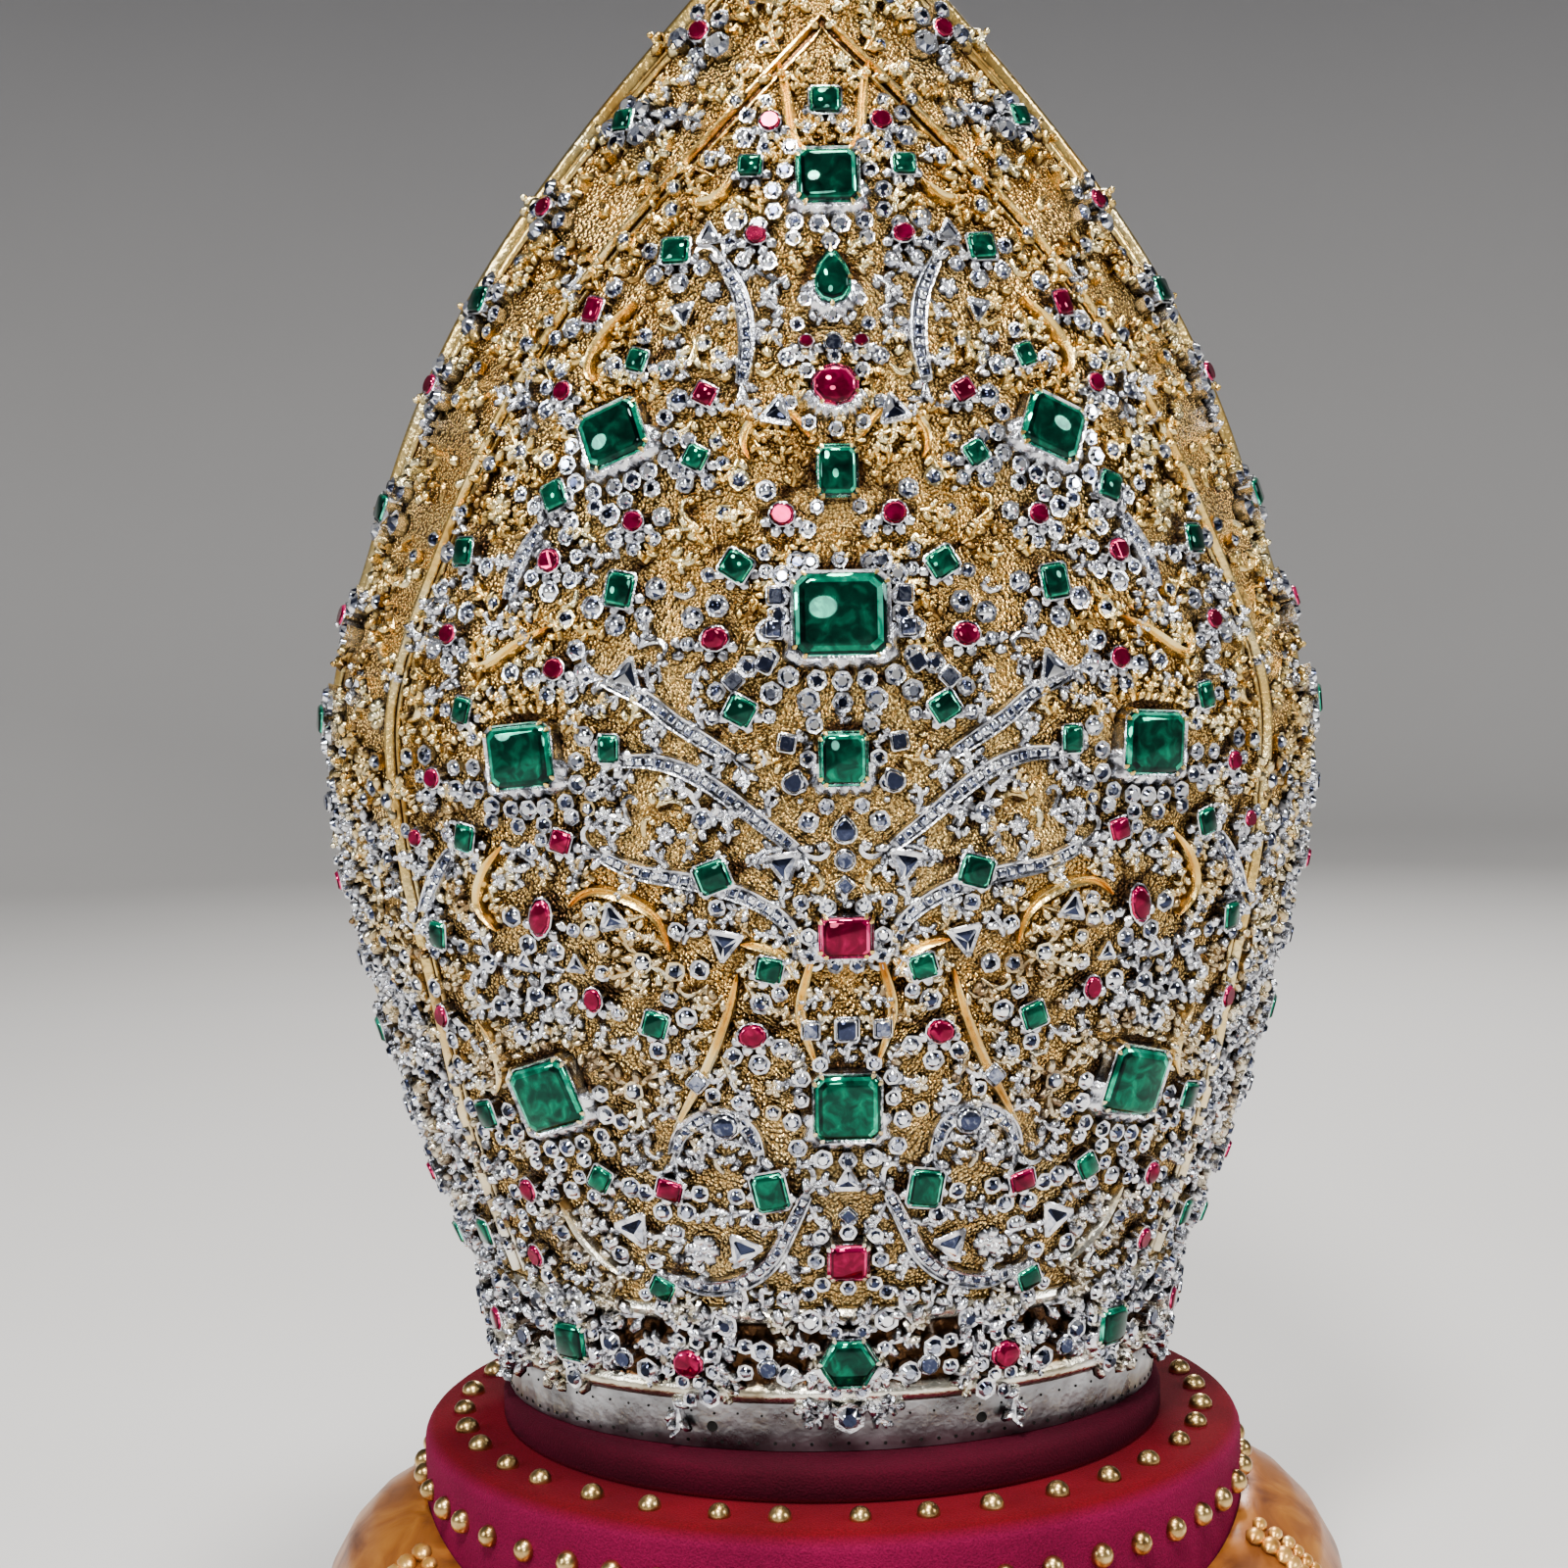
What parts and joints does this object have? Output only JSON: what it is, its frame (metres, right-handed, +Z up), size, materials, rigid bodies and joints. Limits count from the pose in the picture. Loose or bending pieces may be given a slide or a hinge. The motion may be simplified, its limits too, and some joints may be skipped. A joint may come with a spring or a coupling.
{
  "type": "bishop mitre on a velvet display stand",
  "caption": "Tall jewelled bishop mitre of silver-gilt with two bowed pointed panels, scrollwork, emeralds and rubies, on a round velvet drum with a gilt-wood foot.",
  "frame": {"origin": "middle of the stand's foot, on the surface that it stands on", "axes": "+Z up, the front of the mitre faces -Y, +X to the right of somebody who looks at the front"},
  "size_m": [0.312, 0.312, 0.5315],
  "materials": {
    "silver_band": "worn grey silver",
    "gilt": "matted and burnished gilding",
    "emerald": "polished cut stone",
    "ruby": "polished cut stone",
    "silk": "satin",
    "velvet": "velvet pile",
    "gilt_wood": "aged gilding on carved wood"
  },
  "bodies": {
    "root": {"stand_foot": "gilt_wood", "stand_drum": "velvet", "stand_riser": "velvet", "head_band": "silver_band", "circlet": "gilt", "gore": "silk", "front_panel": "gilt", "back_panel": "gilt", "front_edge_moulding": "gilt", "back_edge_moulding": "gilt", "front_inner_moulding": "gilt", "back_inner_moulding": "gilt", "front_apex_emerald": "emerald", "front_pear_emerald": "emerald", "front_upper_ruby": "ruby", "front_upright_emerald": "emerald", "front_great_emerald": "emerald", "front_middle_emerald": "emerald", "front_middle_ruby": "ruby", "front_low_emerald": "emerald", "front_base_ruby": "ruby", "front_circlet_hexagon": "emerald", "front_shoulder_emerald_left": "emerald", "front_shoulder_emerald_right": "emerald", "front_side_emerald_left": "emerald", "front_side_emerald_right": "emerald", "front_flank_emerald_left": "emerald", "front_flank_emerald_right": "emerald", "front_circlet_ruby_left": "ruby", "front_circlet_ruby_right": "ruby", "front_circlet_emerald_left": "emerald", "front_circlet_emerald_right": "emerald", "back_apex_emerald": "emerald", "back_pear_emerald": "emerald", "back_upper_ruby": "ruby", "back_upright_emerald": "emerald", "back_great_emerald": "emerald", "back_middle_emerald": "emerald", "back_middle_ruby": "ruby", "back_low_emerald": "emerald", "back_base_ruby": "ruby", "back_circlet_hexagon": "emerald", "back_shoulder_emerald_left": "emerald", "back_shoulder_emerald_right": "emerald", "back_side_emerald_left": "emerald", "back_side_emerald_right": "emerald", "back_flank_emerald_left": "emerald", "back_flank_emerald_right": "emerald", "back_circlet_ruby_left": "ruby", "back_circlet_ruby_right": "ruby", "back_circlet_emerald_left": "emerald", "back_circlet_emerald_right": "emerald"}
  },
  "joints": []
}
